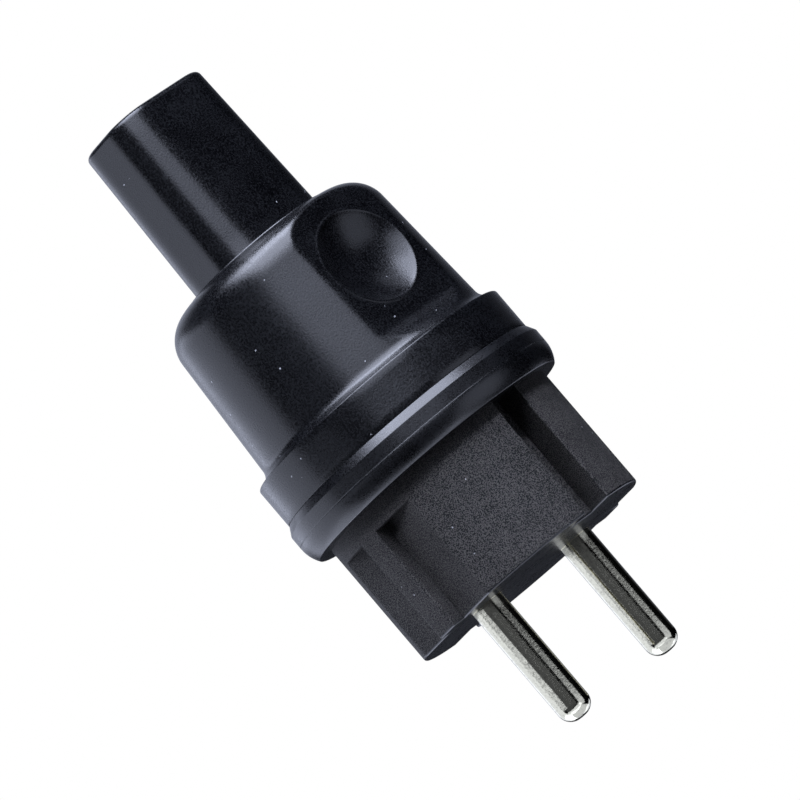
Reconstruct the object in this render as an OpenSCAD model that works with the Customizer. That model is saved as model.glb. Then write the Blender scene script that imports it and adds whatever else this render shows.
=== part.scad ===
// Two-pin mains plug: rubber hood over a contoured pin carrier, with the wiring parts inside.
// Z runs along the plug, from the end of the cable sleeve (z = 0) to the pin tips.
// X runs along the line through the two pins, Y across it, through the thumb dishes.

/* [Pins] */
// Diameter of each contact pin
pin_d = 4.8; // [4.4:0.1:5]
// Length of each pin ahead of the front face
pin_reach = 19; // [16:0.5:20]
// Distance between the two pin axes
pin_spacing = 19; // [18.6:0.1:19.4]
// Rounding of the pin tip
tip_r = 2; // [1:0.1:2.1]
// Extra radius of the pin's shank inside the carrier, up to the front face
shank_step = 0.4; // [0.3:0.05:0.5]

/* [Insert] */
// Diameter of the contoured insert
insert_d = 35.9; // [35.4:0.1:36.6]
// Height of the front face above the flange
insert_h = 18.7; // [16:0.1:20]
// Height of the full round plinth at the foot of the insert
plinth_h = 2.9; // [1.5:0.1:4]
// Distance from the plug's axis to the floor of a side recess
recess_floor = 14.25; // [14:0.05:15]
// Width of a side recess, its rib included
recess_w = 17.6; // [15:0.1:18]
// Width of the rib that stands in a side recess
rib_w = 3.9; // [3:0.1:5]
// Width of the slots across the pin line
slot_w = 4.8; // [4.4:0.1:5.4]
// Distance from the plug's axis to the floor of a slot
slot_floor = 13.5; // [12.5:0.1:14.5]
// Chamfer around the front face
face_chamfer = 0.4; // [0.2:0.1:0.8]

/* [Flange] */
// Largest diameter of the flange ring
flange_d = 41.6; // [40.8:0.1:43]
// Height of the flange ring
flange_h = 6.4; // [6:0.1:8]
// Height of the sloping rear edge
flange_rear_h = 1.7; // [1:0.1:2]
// Height of the cylindrical land
flange_land_h = 1.9; // [1:0.1:2.4]
// Diameter of the flange at its front edge
flange_front_d = 39.8; // [38.6:0.1:40.6]
// Distance from the seam to the deck that carries the retainer plate
deck_rise = 2.2; // [1.6:0.1:2.8]
// Wall of the spigot that the hood is pulled over
spigot_wall = 2.2; // [1.8:0.1:2.4]
// Distance from the end of the spigot to the rear of the grip band
spigot_gap = 0.8; // [0.6:0.1:1.2]
// Height of the snap bead on the spigot
bead_h = 0.7; // [0.4:0.1:0.8]
// Length of the flat top of the snap bead
bead_land = 0.6; // [0.3:0.1:0.8]

/* [Hood] */
// Diameter of the grip band
band_d = 40.2; // [39.6:0.1:40.8]
// Height of the grip band
band_h = 5.6; // [5.2:0.1:7]
// Height of the hood from its back to the grip band
hood_h = 23.8; // [23:0.1:28]
// Diameter of the hood next to the grip band
hood_front_d = 36.1; // [35.6:0.1:37]
// Diameter of the hood where the rear shoulder begins
hood_rear_d = 34.1; // [33.6:0.1:35]
// Radius of the rear shoulder
shoulder_r = 5; // [4:0.1:6.4]
// Thickness of the hood's side wall
hood_wall = 3; // [2.6:0.1:3.2]
// Thickness of the hood's back wall
back_wall = 3.4; // [3:0.1:3.8]
// Thickness of the hood under a thumb dish
dish_wall = 2.5; // [2:0.1:3]

/* [Thumb dishes] */
// Width of a thumb flat
flat_w = 16.1; // [14.4:0.1:16.6]
// Distance from the end of a thumb flat to the grip band
flat_gap = 0.3; // [0.2:0.1:1]
// Radius of the fillet that carries a thumb flat up to the grip band
flat_r = 3.9; // [3:0.1:4.6]
// Diameter of the round dish
dish_d = 13.9; // [11:0.1:14.2]
// Depth of the round dish
dish_depth = 2.2; // [1:0.1:2.4]
// Height of the dish centre above the back of the hood
dish_rise = 10.7; // [10:0.1:12]

/* [Cable sleeve] */
// Length of the sleeve behind the hood
sleeve_len = 23.8; // [16:0.1:32]
// Width of the sleeve at its end
sleeve_w = 18.1; // [17:0.1:19]
// Thickness of the sleeve at its end
sleeve_t = 13.5; // [12.6:0.1:14.4]
// Corner radius of the sleeve at its end
sleeve_r = 4.75; // [4:0.05:5.4]
// Growth of each side of the sleeve towards the hood
sleeve_draft = 0.7; // [0.2:0.05:0.8]
// Rounding of the sleeve's end edge
sleeve_edge_r = 0.8; // [0.4:0.1:1]
// Diameter of the cable bore
cord_bore_d = 9; // [7:0.1:9.4]

/* [Wiring parts] */
// Diameter of the terminal pillar behind each pin
pillar_d = 6.2; // [5.6:0.1:6.4]
// Length of the terminal pillar behind the retainer plate
pillar_len = 8.6; // [8:0.1:9.4]
// Diameter of the collar that stops each pin
collar_d = 8; // [7.4:0.1:8.2]
// Height of the collar
collar_h = 3; // [2:0.1:3.4]
// Diameter of the wire hole in a pillar
wire_d = 2.6; // [2.2:0.1:3]
// Metal left between the wire hole and the retainer plate
wire_floor = 1.2; // [0.8:0.1:2]
// Depth of the flat under a terminal screw head
pillar_cut = 0.4; // [0.2:0.1:0.6]
// Distance from the rear of a pillar to its terminal screw
terminal_rise = 3.7; // [3.4:0.1:4]
// Thread diameter of all screws
screw_d = 2.9; // [2.5:0.1:3]
// Head diameter of all screws
head_d = 5.2; // [4.6:0.1:5.4]
// Head height of all screws
head_h = 2; // [1.6:0.1:2.2]
// Width of the screwdriver slots
driver_w = 0.8; // [0.6:0.1:1]
// Depth of the screwdriver slots
driver_depth = 1; // [0.6:0.1:1.2]
// Free depth below each screw tip
tip_room = 1; // [0.5:0.1:1.5]
// Thickness of the retainer plate
plate_h = 3; // [2.4:0.1:3.2]
// Web of the retainer plate outside a pillar
plate_web = 1.2; // [1:0.1:1.4]
// Length of the retainer screw in the pin carrier
retainer_grip = 9; // [6:0.5:12]
// Length of the cord clamp along the cord
clamp_len = 8; // [7:0.1:9]
// Thickness of the cord clamp bar
clamp_t = 3.4; // [2.6:0.1:3.6]
// Distance from the cord's axis to the clamp bar
clamp_gap = 3; // [2.4:0.1:3.4]
// Radius of the cord channel in the anchor
channel_r = 4.7; // [4.4:0.1:4.9]
// Width of the anchor's towers beside the cord channel
tower_w = 5.5; // [5.2:0.1:5.7]
// Distance from the back of the wiring chamber to the anchor
anchor_gap = 3; // [2:0.1:3.4]
// Distance from the anchor to the side of the wiring chamber
anchor_side = 0.8; // [0.5:0.1:1.2]
// Depth of the anchor below the cord's axis
anchor_depth = 9.3; // [8.6:0.1:9.5]
// Thickness of the arm from the anchor to the retainer plate
arm_t = 3.2; // [2.6:0.1:3.6]
// Distance from the arm to the terminal pillars, across the plug
arm_side = 0.4; // [0.2:0.1:1]
// Length of the arm's root in the anchor
arm_root = 1; // [0.8:0.1:2]
// Material left below the clamp screw holes
screw_floor = 2; // [1.5:0.1:3]
// Depth of the bite ridges under the clamp bar
ridge_h = 0.8; // [0.4:0.1:1]
// Distance from a bite ridge's end to the anchor's towers
ridge_gap = 0.5; // [0.3:0.1:1]

/* [Fits] */
// Clearance around a pin and its collar
pin_clear = 0.05; // [0.03:0.01:0.15]
// Clearance of parts that slide together when the plug is assembled
slide_clear = 0.1; // [0.05:0.05:0.2]
// Clearance of a screw in its threaded hole
thread_clear = 0.03; // [0.02:0.01:0.08]

/* [Hidden] */
$fn = 72;

// Overlap that keeps cutting tools clear of the faces they cut through
cut = 1;

// Levels along the plug
z_back = sleeve_len;
z_band = z_back + hood_h;
z_seam = z_band + band_h;
z_face = z_seam + flange_h;
z_plinth = z_face + plinth_h;
z_front = z_face + insert_h;

// Hood: outer radii, shoulder centre and cove
band_r = band_d / 2;
hood_front_r = hood_front_d / 2;
hood_rear_r = hood_rear_d / 2;
shoulder_x = hood_rear_r - shoulder_r;
z_shoulder = z_back + shoulder_r;
cove_r = band_r - hood_front_r;
z_cove = z_band - cove_r;

// Retainer plate around the pillars, and the spigot of the pin carrier around the plate
pin_x = pin_spacing / 2;
shank_d = pin_d + 2 * shank_step;
plate_r = pin_x + pillar_d / 2 + slide_clear + plate_web;
deck_r = plate_r + slide_clear;
spigot_r = deck_r + spigot_wall;
spigot_len = band_h - spigot_gap;
z_spigot = z_seam - spigot_len;
z_bead = z_seam - spigot_len / 2;

// Wiring chamber of the hood
chamber_r = hood_rear_r - hood_wall;
chamber_round = shoulder_r - hood_wall;
z_chamber = z_back + back_wall;

// Thumb flat: a plane that keeps its width along the drafted hood
flat_y_rear = sqrt(hood_rear_r * hood_rear_r - flat_w * flat_w / 4);
flat_y_front = sqrt(hood_front_r * hood_front_r - flat_w * flat_w / 4);
flat_tilt = atan((flat_y_front - flat_y_rear) / (z_cove - z_shoulder));
flat_top = (z_band - flat_gap - z_shoulder) / cos(flat_tilt);
flat_run = shoulder_r + back_wall;
// Depth of the end's fillet under the flat, so that the two surfaces cross
flat_dip = 0.02;
dish_along = (z_back + dish_rise - z_shoulder) / cos(flat_tilt);
dish_sphere_r = (dish_d * dish_d / 4 + dish_depth * dish_depth) / (2 * dish_depth);
dish_floor_y = flat_y_rear * cos(flat_tilt) - dish_depth;
chamber_y = dish_floor_y - dish_wall;

// Rear of the pin carrier: the deck carries the retainer plate
z_deck = z_seam + deck_rise;
z_plate = z_deck - plate_h;
z_collar = z_deck + collar_h;
z_pillar = z_plate - pillar_len;

// Front of the flange: an arc from the land to the front edge
flange_r = flange_d / 2;
z_land = z_seam + flange_rear_h + flange_land_h;
flange_drop = flange_r - flange_front_d / 2;
flange_arc_r = (pow(z_face - z_land, 2) + flange_drop * flange_drop) / (2 * flange_drop);

// Terminal and retainer screws
wire_depth = pillar_len - wire_floor;
z_terminal = z_pillar + terminal_rise;
pillar_flat = pillar_d / 2 - pillar_cut;
thread_hole_d = screw_d + 2 * thread_clear;
pass_hole_d = screw_d + 4 * slide_clear;

// Cord anchor: the clamp block stands clear of the chamber's back
block_r = chamber_r - anchor_side;
z_block = z_chamber + anchor_gap;
tower_x = channel_r + tower_w;
clamp_screw_x = channel_r + tower_w / 2;
arm_w = 2 * (pin_x - pillar_d / 2 - arm_side);
z_arm = z_block + clamp_len - arm_root;
clamp_screw_reach = clamp_gap + anchor_depth - screw_floor - tip_room;

// Half section of the sleeve wall, measured out from a corner centre, with a rounded end edge
module sleeve_section(inner) {
    top_r = sleeve_r + sleeve_draft;
    difference() {
        translate([-inner, 0])
            polygon([[0, 0], [inner + sleeve_r, 0], [inner + top_r, sleeve_len], [0, sleeve_len]]);
        translate([sleeve_r - sleeve_edge_r, -cut])
            square([sleeve_edge_r + cut, sleeve_edge_r + cut]);
    }
    translate([sleeve_r - sleeve_edge_r, sleeve_edge_r])
        circle(sleeve_edge_r);
}

// Drafted sleeve body: four corner cones and the two slabs between them
module sleeve_body() {
    corner_x = sleeve_w / 2 - sleeve_r;
    corner_y = sleeve_t / 2 - sleeve_r;
    for (sx = [-1, 1], sy = [-1, 1])
        translate([sx * corner_x, sy * corner_y, 0])
            rotate_extrude()
                sleeve_section(0);
    for (turn = [0, 180]) rotate([0, 0, turn]) {
        translate([corner_x, corner_y, 0])
            rotate([90, 0, 0])
                linear_extrude(2 * corner_y)
                    sleeve_section(corner_x);
        translate([-corner_x, corner_y, 0])
            rotate([90, 0, 90])
                linear_extrude(2 * corner_x)
                    sleeve_section(corner_y);
    }
}

// Half section of the solid hood: shoulder arc, drafted wall, cove and band
module hood_section() {
    difference() {
        union() {
            polygon([
                [0, z_back],
                [shoulder_x, z_back],
                [shoulder_x, z_shoulder],
                [hood_rear_r, z_shoulder],
                [hood_front_r, z_cove],
                [band_r, z_cove],
                [band_r, z_seam],
                [0, z_seam]
            ]);
            translate([shoulder_x, z_shoulder])
                circle(shoulder_r);
        }
        translate([band_r, z_cove])
            circle(cove_r);
    }
}

// Half section of the spigot with its snap bead, grown by a clearance
module spigot_section(clear) {
    r = spigot_r + clear;
    polygon([
        [0, z_spigot - clear],
        [r, z_spigot - clear],
        [r, z_bead - bead_land / 2 - bead_h - clear],
        [r + bead_h, z_bead - bead_land / 2 - clear],
        [r + bead_h, z_bead + bead_land / 2 + clear],
        [r, z_bead + bead_land / 2 + bead_h + clear],
        [r, z_seam + clear],
        [0, z_seam + clear]
    ]);
}

// Half section of the wiring chamber, rounded at its back
module chamber_section() {
    translate([0, z_chamber + chamber_round])
        square([chamber_r, z_seam - z_chamber - chamber_round - spigot_len / 2]);
    translate([0, z_chamber])
        square([chamber_r - chamber_round, chamber_round + cut]);
    translate([chamber_r - chamber_round, z_chamber + chamber_round])
        circle(chamber_round);
}

// Thumb flat with the fillet at its end, and the dish, cut into the +Y side
module thumb_cut() {
    width = flat_w + 2 * cut;
    translate([0, flat_y_rear, z_shoulder]) rotate([-flat_tilt, 0, 0]) {
        translate([-width / 2, 0, -flat_run])
            cube([width, hood_front_r, flat_run + flat_top - flat_r]);
        translate([-width / 2, flat_r - flat_dip, flat_top - flat_r])
            rotate([0, 90, 0])
                cylinder(h = width, r = flat_r);
        translate([0, dish_sphere_r - dish_depth, dish_along])
            sphere(dish_sphere_r);
    }
}

module hood() {
    color("#1b1c1f") difference() {
        union() {
            sleeve_body();
            rotate_extrude() hood_section();
        }
        for (turn = [0, 180]) rotate([0, 0, turn]) thumb_cut();
        intersection() {
            rotate_extrude() chamber_section();
            translate([-chamber_r, -chamber_y, z_chamber])
                cube([2 * chamber_r, 2 * chamber_y, z_seam - z_chamber]);
        }
        rotate_extrude() spigot_section(slide_clear);
        translate([0, 0, -cut])
            cylinder(h = z_chamber + 2 * cut, d = cord_bore_d);
    }
}

// Outline of the insert: round, with slots across the pin line and ribbed recesses along it
module insert_outline() {
    difference() {
        plinth_outline();
        for (sx = [0, 1], sy = [0, 1])
            mirror([sx, 0]) mirror([0, sy])
                translate([recess_floor, rib_w / 2])
                    square([insert_d, (recess_w - rib_w) / 2]);
    }
}

// Full round plinth, cut only by the two slots
module plinth_outline() {
    difference() {
        circle(insert_d / 2);
        for (sy = [0, 1])
            mirror([0, sy])
                translate([-slot_w / 2, slot_floor])
                    square([slot_w, insert_d]);
    }
}

// Half section of the insert, chamfered around its front face
module insert_section() {
    insert_r = insert_d / 2;
    polygon([
        [0, z_face],
        [insert_r + cut, z_face],
        [insert_r + cut, z_front - face_chamfer - cut],
        [insert_r - face_chamfer, z_front],
        [0, z_front]
    ]);
}

// Half section of the flange ring: sloping rear edge, land, and an arc that leaves the land smoothly
module flange_section() {
    polygon([
        [0, z_seam],
        [band_r, z_seam],
        [flange_r, z_seam + flange_rear_h],
        [flange_r, z_land],
        [0, z_land]
    ]);
    intersection() {
        translate([flange_r - flange_arc_r, z_land])
            circle(flange_arc_r);
        translate([0, z_land - cut])
            square([flange_r, z_face - z_land + cut]);
    }
    translate([0, z_land - cut])
        square([flange_front_d / 2, z_face - z_land + cut]);
}

module pin_carrier() {
    color("#2a2b2e") difference() {
        union() {
            rotate_extrude() {
                flange_section();
                spigot_section(0);
            }
            translate([0, 0, z_seam + flange_rear_h])
                linear_extrude(z_plinth - z_seam - flange_rear_h)
                    plinth_outline();
            intersection() {
                translate([0, 0, z_face])
                    linear_extrude(insert_h)
                        insert_outline();
                rotate_extrude() insert_section();
            }
        }
        translate([0, 0, z_spigot - cut])
            cylinder(h = z_deck - z_spigot + cut, r = deck_r);
        for (sx = [-1, 1]) translate([sx * pin_x, 0, 0]) {
            translate([0, 0, z_deck - cut])
                cylinder(h = z_front - z_deck + 2 * cut, d = shank_d + 2 * pin_clear);
            translate([0, 0, z_deck - cut])
                cylinder(h = collar_h + cut, d = collar_d + 2 * pin_clear);
        }
        translate([0, 0, z_deck - cut])
            cylinder(h = retainer_grip + tip_room + cut, d = thread_hole_d);
    }
}

// Half section of a pin: domed tip, shank, collar and terminal pillar
module pin_section() {
    pin_r = pin_d / 2;
    z_tip = z_front + pin_reach;
    translate([0, z_collar - cut])
        square([shank_d / 2, z_front - z_collar + cut]);
    translate([0, z_front - cut])
        square([pin_r, z_tip - tip_r - z_front + cut]);
    translate([0, z_tip - tip_r - cut])
        square([pin_r - tip_r, tip_r + cut]);
    intersection() {
        translate([pin_r - tip_r, z_tip - tip_r])
            circle(tip_r);
        translate([0, z_tip - tip_r - cut])
            square([pin_r, tip_r + cut]);
    }
    translate([0, z_deck])
        square([collar_d / 2, collar_h]);
    translate([0, z_pillar])
        square([pillar_d / 2, z_deck - z_pillar + cut]);
}

// One contact pin, on the plug's axis
module contact_pin() {
    difference() {
        rotate_extrude() pin_section();
        translate([0, 0, z_pillar - cut])
            cylinder(h = wire_depth + cut, d = wire_d);
        translate([0, 0, z_terminal])
            rotate([-90, 0, 0])
                cylinder(h = pillar_d, d = thread_hole_d);
        translate([-pillar_d, pillar_flat, z_pillar - cut])
            cube([2 * pillar_d, pillar_d, pillar_len + cut - slide_clear]);
    }
}

module pin_left() {
    color("#c9ccd0") translate([-pin_x, 0, 0]) contact_pin();
}

module pin_right() {
    color("#c9ccd0") translate([pin_x, 0, 0]) contact_pin();
}

// Slotted cheese-head screw: head on z = 0 and above, shank below
module screw(reach) {
    difference() {
        union() {
            cylinder(h = head_h, d = head_d);
            translate([0, 0, -reach])
                cylinder(h = reach + head_h, d = screw_d);
        }
        translate([-head_d, -driver_w / 2, head_h - driver_depth])
            cube([2 * head_d, driver_w, head_h]);
    }
}

module retainer_screw() {
    color("#b9bcbf") translate([0, 0, z_plate])
        rotate([180, 0, 0])
            screw(plate_h + retainer_grip);
}

// Places its children at the two terminals, with +Z turned to the +Y side of the pillar
module at_terminals(level) {
    for (sx = [-1, 1])
        translate([sx * pin_x, level, z_terminal])
            rotate([-90, 0, 0])
                children();
}

module terminal_screws() {
    color("#b9bcbf") at_terminals(pillar_flat)
        screw(pillar_flat - slide_clear);
}

// Clamp block around the cord, open towards the clamp bar
module anchor_block() {
    difference() {
        intersection() {
            translate([-tower_x, -anchor_depth, z_block])
                cube([2 * tower_x, anchor_depth + clamp_gap, clamp_len]);
            translate([0, 0, z_block])
                cylinder(h = clamp_len, r = block_r);
        }
        translate([0, 0, z_block - cut])
            cylinder(h = clamp_len + 2 * cut, r = channel_r);
        translate([-channel_r, 0, z_block - cut])
            cube([2 * channel_r, clamp_gap + cut, clamp_len + 2 * cut]);
        at_clamp_screws(clamp_gap)
            translate([0, 0, -clamp_screw_reach - tip_room])
                cylinder(h = clamp_screw_reach + tip_room + cut, d = thread_hole_d);
    }
}

// Places its children at the two clamp screws, with +Z turned to +Y
module at_clamp_screws(level) {
    for (sx = [-1, 1])
        translate([sx * clamp_screw_x, level, z_block + clamp_len / 2])
            rotate([-90, 0, 0])
                children();
}

module pin_retainer() {
    color("#e4e0d4") {
        difference() {
            translate([0, 0, z_plate])
                cylinder(h = plate_h, r = plate_r);
            for (sx = [-1, 1])
                translate([sx * pin_x, 0, z_plate - cut])
                    cylinder(h = plate_h + 2 * cut, d = pillar_d + 2 * slide_clear);
            translate([0, 0, z_plate - cut])
                cylinder(h = plate_h + 2 * cut, d = pass_hole_d);
        }
        translate([-arm_w / 2, -anchor_depth, z_arm])
            cube([arm_w, arm_t, z_plate + plate_h / 2 - z_arm]);
        anchor_block();
    }
}

module cord_clamp() {
    color("#e4e0d4") difference() {
        union() {
            intersection() {
                translate([-tower_x, clamp_gap, z_block])
                    cube([2 * tower_x, clamp_t, clamp_len]);
                translate([0, 0, z_block])
                    cylinder(h = clamp_len, r = block_r);
            }
            for (share = [1, 3])
                translate([-channel_r + ridge_gap, clamp_gap, z_block + share * clamp_len / 4])
                    rotate([0, 90, 0])
                        cylinder(h = 2 * (channel_r - ridge_gap), r = ridge_h);
        }
        at_clamp_screws(clamp_gap)
            translate([0, 0, -cut])
                cylinder(h = clamp_t + 2 * cut, d = pass_hole_d);
    }
}

module clamp_screws() {
    color("#b9bcbf") at_clamp_screws(clamp_gap + clamp_t)
        screw(clamp_t + clamp_screw_reach);
}

hood();
pin_carrier();
pin_left();
pin_right();
pin_retainer();
retainer_screw();
terminal_screws();
cord_clamp();
clamp_screws();
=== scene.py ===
"""Two-pin power plug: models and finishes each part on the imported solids, in their own frame."""

import math
from types import SimpleNamespace

import bmesh
import bpy
import numpy as np
from mathutils import Matrix, Vector


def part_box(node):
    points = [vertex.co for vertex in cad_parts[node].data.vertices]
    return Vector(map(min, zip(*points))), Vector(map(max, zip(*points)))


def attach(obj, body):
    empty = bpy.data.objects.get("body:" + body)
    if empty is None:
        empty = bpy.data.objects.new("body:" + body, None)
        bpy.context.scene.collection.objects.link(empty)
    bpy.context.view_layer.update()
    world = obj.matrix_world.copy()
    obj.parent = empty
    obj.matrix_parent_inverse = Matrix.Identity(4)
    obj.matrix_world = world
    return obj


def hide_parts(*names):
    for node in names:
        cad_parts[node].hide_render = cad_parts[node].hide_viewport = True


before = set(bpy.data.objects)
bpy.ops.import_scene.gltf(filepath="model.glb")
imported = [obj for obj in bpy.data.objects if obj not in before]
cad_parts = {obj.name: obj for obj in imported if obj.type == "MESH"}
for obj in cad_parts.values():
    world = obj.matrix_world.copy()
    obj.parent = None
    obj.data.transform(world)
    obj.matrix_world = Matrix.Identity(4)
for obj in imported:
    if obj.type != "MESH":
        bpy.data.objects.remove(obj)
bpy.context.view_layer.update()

bl_info = {
    "name": "Two-pin power plug",
    "version": (1, 0, 0),
    "blender": (4, 5, 0),
    "location": "View3D > Sidebar > Power plug",
    "description": "Models a rubber-hooded two-pin plug on its packed solids and lights it on a plain floor",
    "category": "Object",
}

MM = 0.001
BODY = "root"
HOOD_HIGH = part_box("hood")[1]
CARRIER_LOW, CARRIER_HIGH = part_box("pin_carrier")
PIN_LOW, PIN_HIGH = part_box("pin_right")
# Reach of the grip band past the seam level, in millimetres
BAND_LAP = 0.45
# Distances under which points count as one, and as lying on the same surface, in millimetres
SAME_POINT = 1e-4
SAME_LEVEL = 0.01
# Reach of a cutting tool past the surface that it opens, in millimetres
OVERCUT = 1
# Dust: width of the cells that may hold a speck, in millimetres, a speck's radius as a share of that width,
# and the share of the cells that stay empty
DUST_CELL, DUST_RADIUS, DUST_EMPTY = 1.8, 0.07, 0.75


def linear(code):
    """Linear colour of an sRGB hex value."""
    channels = [int(code[i:i + 2], 16) / 255 for i in (1, 3, 5)]
    return tuple(c / 12.92 if c <= 0.04045 else ((c + 0.055) / 1.055) ** 2.4 for c in channels)


def length(name, description, millimetres):
    """A size that a user may change, kept in metres."""
    return bpy.props.FloatProperty(
        name=name, description=description, default=millimetres * MM,
        unit="LENGTH", subtype="DISTANCE", precision=5
    )


def colour(name, description, code):
    """A colour that a user may change."""
    return bpy.props.FloatVectorProperty(
        name=name, description=description, default=linear(code),
        size=3, min=0.0, max=1.0, subtype="COLOR"
    )


def turn(name, description, degrees):
    """An angle that a user may change."""
    return bpy.props.FloatProperty(
        name=name, description=description, default=math.radians(degrees),
        unit="ROTATION", subtype="ANGLE"
    )


class HoodSizes(bpy.types.PropertyGroup):
    """Sizes of the rubber hood and its cable sleeve."""

    band_r: length("Band radius", "Outer radius of the grip band", HOOD_HIGH.x / MM)
    seam: length("Seam level", "Height of the seam between hood and flange", HOOD_HIGH.z / MM)
    band_h: length("Band height", "Height of the grip band", 5.6)
    band_edge: length("Band edge", "Rounding of the grip band's rear edge", 0.25)
    seam_edge: length("Seam edge", "Rounding of the hood's edge at the seam", 0.12)
    lap: length("Band lap", "Reach of the grip band past the seam level", BAND_LAP)
    front_r: length("Front radius", "Radius of the hood next to the cove", 18.05)
    rear_r: length("Rear radius", "Radius of the hood above its shoulder", 17.05)
    shoulder_r: length("Shoulder", "Radius of the rear shoulder", 5.0)
    cove_r: length("Cove", "Radius of the cove below the grip band", 1.8)
    back: length("Back level", "Height of the hood's back", 23.8)
    lip_r: length("Lip place", "Radius of the fine lip round the hood's back", 11.75)
    lip_w: length("Lip width", "Half width of the fine lip at its foot", 0.2)
    lip_h: length("Lip height", "Height of the fine lip", 0.22)
    sleeve_w: length("Sleeve width", "Width of the cable sleeve at its end", 18.1)
    sleeve_t: length("Sleeve thickness", "Thickness of the cable sleeve at its end", 13.5)
    sleeve_corner: length("Sleeve corner", "Corner radius of the sleeve at its end", 4.75)
    sleeve_draft: length("Sleeve draft", "Growth of each side of the sleeve up to the hood", 0.7)
    sleeve_edge: length("Sleeve edge", "Rounding of the sleeve's end edge", 0.8)
    sleeve_root: length("Sleeve root", "Fillet where the sleeve meets the hood", 0.5)
    bore_r: length("Bore radius", "Radius of the cable bore", 4.5)
    bore_edge: length("Bore edge", "Rounding of the cable bore's edge", 0.3)
    flat_w: length("Thumb flat width", "Width of a thumb flat", 16.1)
    flat_soft: length("Thumb flat softness", "Softness of a thumb flat's outline", 0.13)
    flat_end: length("Thumb flat end", "Distance from the thumb flat's end to the grip band", 0.3)
    flat_r: length("Thumb flat fillet", "Radius of the fillet from a thumb flat to the grip band", 3.9)
    dish_d: length("Dish diameter", "Diameter of a thumb dish", 13.9)
    dish_depth: length("Dish depth", "Depth of a thumb dish", 2.2)
    dish_rise: length("Dish place", "Height of the dish centre above the hood's back", 10.7)
    dish_soft: length("Dish softness", "Softness of a dish's rim", 0.05)
    dish_lip: length("Dish lip", "Height of the fine lip round a dish", 0.1)
    chamber_r: length("Chamber radius", "Radius of the wiring chamber", 14.05)
    chamber_y: length("Chamber half depth", "Distance from the axis to the chamber's flat sides", 10.29)
    chamber_back: length("Chamber back", "Height of the chamber's back", 27.2)
    chamber_round: length("Chamber rounding", "Rounding at the chamber's back", 2.0)
    socket_r: length("Socket radius", "Radius of the socket for the carrier's spigot", 16.3)
    socket_depth: length("Socket depth", "Depth of the socket for the carrier's spigot", 4.9)


class CarrierSizes(bpy.types.PropertyGroup):
    """Sizes of the pin carrier: spigot, flange and contoured insert."""

    flange_r: length("Flange radius", "Largest radius of the flange", CARRIER_HIGH.x / MM)
    front: length("Front level", "Height of the front face", CARRIER_HIGH.z / MM)
    spigot_low: length("Spigot level", "Height of the spigot's rear end", CARRIER_LOW.z / MM)
    seam_r: length("Seam radius", "Radius of the flange at the seam", 20.1)
    seam: length("Seam level", "Height of the seam between hood and flange", HOOD_HIGH.z / MM)
    lap: length("Band lap", "Reach of the hood's grip band past the seam level", BAND_LAP)
    rear_h: length("Rear slope", "Height of the flange's sloping rear edge, the band's lap included", 1.7)
    land_h: length("Land", "Height of the flange's cylindrical land", 1.9)
    flange_h: length("Flange height", "Height of the flange", 6.4)
    front_r: length("Flange front radius", "Radius of the flange's front edge", 19.9)
    edge: length("Flange edges", "Rounding of the flange's edges", 0.22)
    groove: length("Parting line", "Depth of the fine parting line on the flange", 0.06)
    spigot_r: length("Spigot radius", "Radius of the spigot inside the hood", 16.2)
    bead: length("Snap bead", "Height of the spigot's snap bead", 0.7)
    deck: length("Deck level", "Height of the deck inside the spigot", HOOD_HIGH.z / MM + 2.2)
    deck_r: length("Deck radius", "Radius of the deck inside the spigot", 14.0)
    insert_r: length("Insert radius", "Radius of the contoured insert", 17.95)
    plinth_h: length("Plinth", "Height of the round plinth at the insert's foot", 2.9)
    slot_w: length("Slot width", "Width of the slots across the pin line", 4.8)
    slot_floor: length("Slot floor", "Distance from the axis to a slot's floor", 13.5)
    recess_floor: length("Recess floor", "Distance from the axis to a side recess's floor", 15.8)
    rib_w: length("Rib width", "Width of the rib in a side recess", 3.9)
    insert_edge: length("Insert edges", "Rounding of the insert's edges", 0.3)
    ledge_edge: length("Ledge edges", "Rounding of the ledges at the foot of the recesses", 0.15)
    bore_r: length("Pin bore radius", "Radius of a pin's bore", 2.85)
    collar_r: length("Collar bore radius", "Radius of the bore for a pin's collar", 4.05)
    collar_h: length("Collar bore depth", "Depth of the bore for a pin's collar", 3.0)
    screw_r: length("Screw bore radius", "Radius of the retainer screw's bore", 1.48)
    screw_depth: length("Screw bore depth", "Depth of the retainer screw's bore", 10.0)


class PinSizes(bpy.types.PropertyGroup):
    """Sizes of the two contact pins."""

    place: length("Pin place", "Distance from the axis to a pin's axis", (PIN_LOW.x + PIN_HIGH.x) / 2 / MM)
    tip: length("Tip level", "Height of the pin's tip", PIN_HIGH.z / MM)
    low: length("Pillar level", "Height of the terminal pillar's rear end", PIN_LOW.z / MM)
    pin_r: length("Pin radius", "Radius of the free pin", 2.4)
    tip_r: length("Tip rounding", "Rounding of the pin's tip", 2.0)
    shank_r: length("Shank radius", "Radius of the pin inside the carrier", 2.8)
    collar_r: length("Collar radius", "Radius of the pin's collar", 4.0)
    collar_h: length("Collar height", "Height of the pin's collar", 3.0)
    pillar_r: length("Pillar radius", "Radius of the terminal pillar", 3.1)
    pillar_flat: length("Pillar flat", "Distance from the pin's axis to the flat under the screw head", 2.7)
    pillar_h: length("Pillar height", "Height of the flat under the screw head", 8.5)
    wire_r: length("Wire hole radius", "Radius of the wire hole", 1.3)
    wire_depth: length("Wire hole depth", "Depth of the wire hole", 7.4)
    screw_r: length("Terminal hole radius", "Radius of the terminal screw's hole", 1.48)
    screw_rise: length("Terminal hole place", "Height of the terminal screw above the pillar's end", 3.7)


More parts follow.
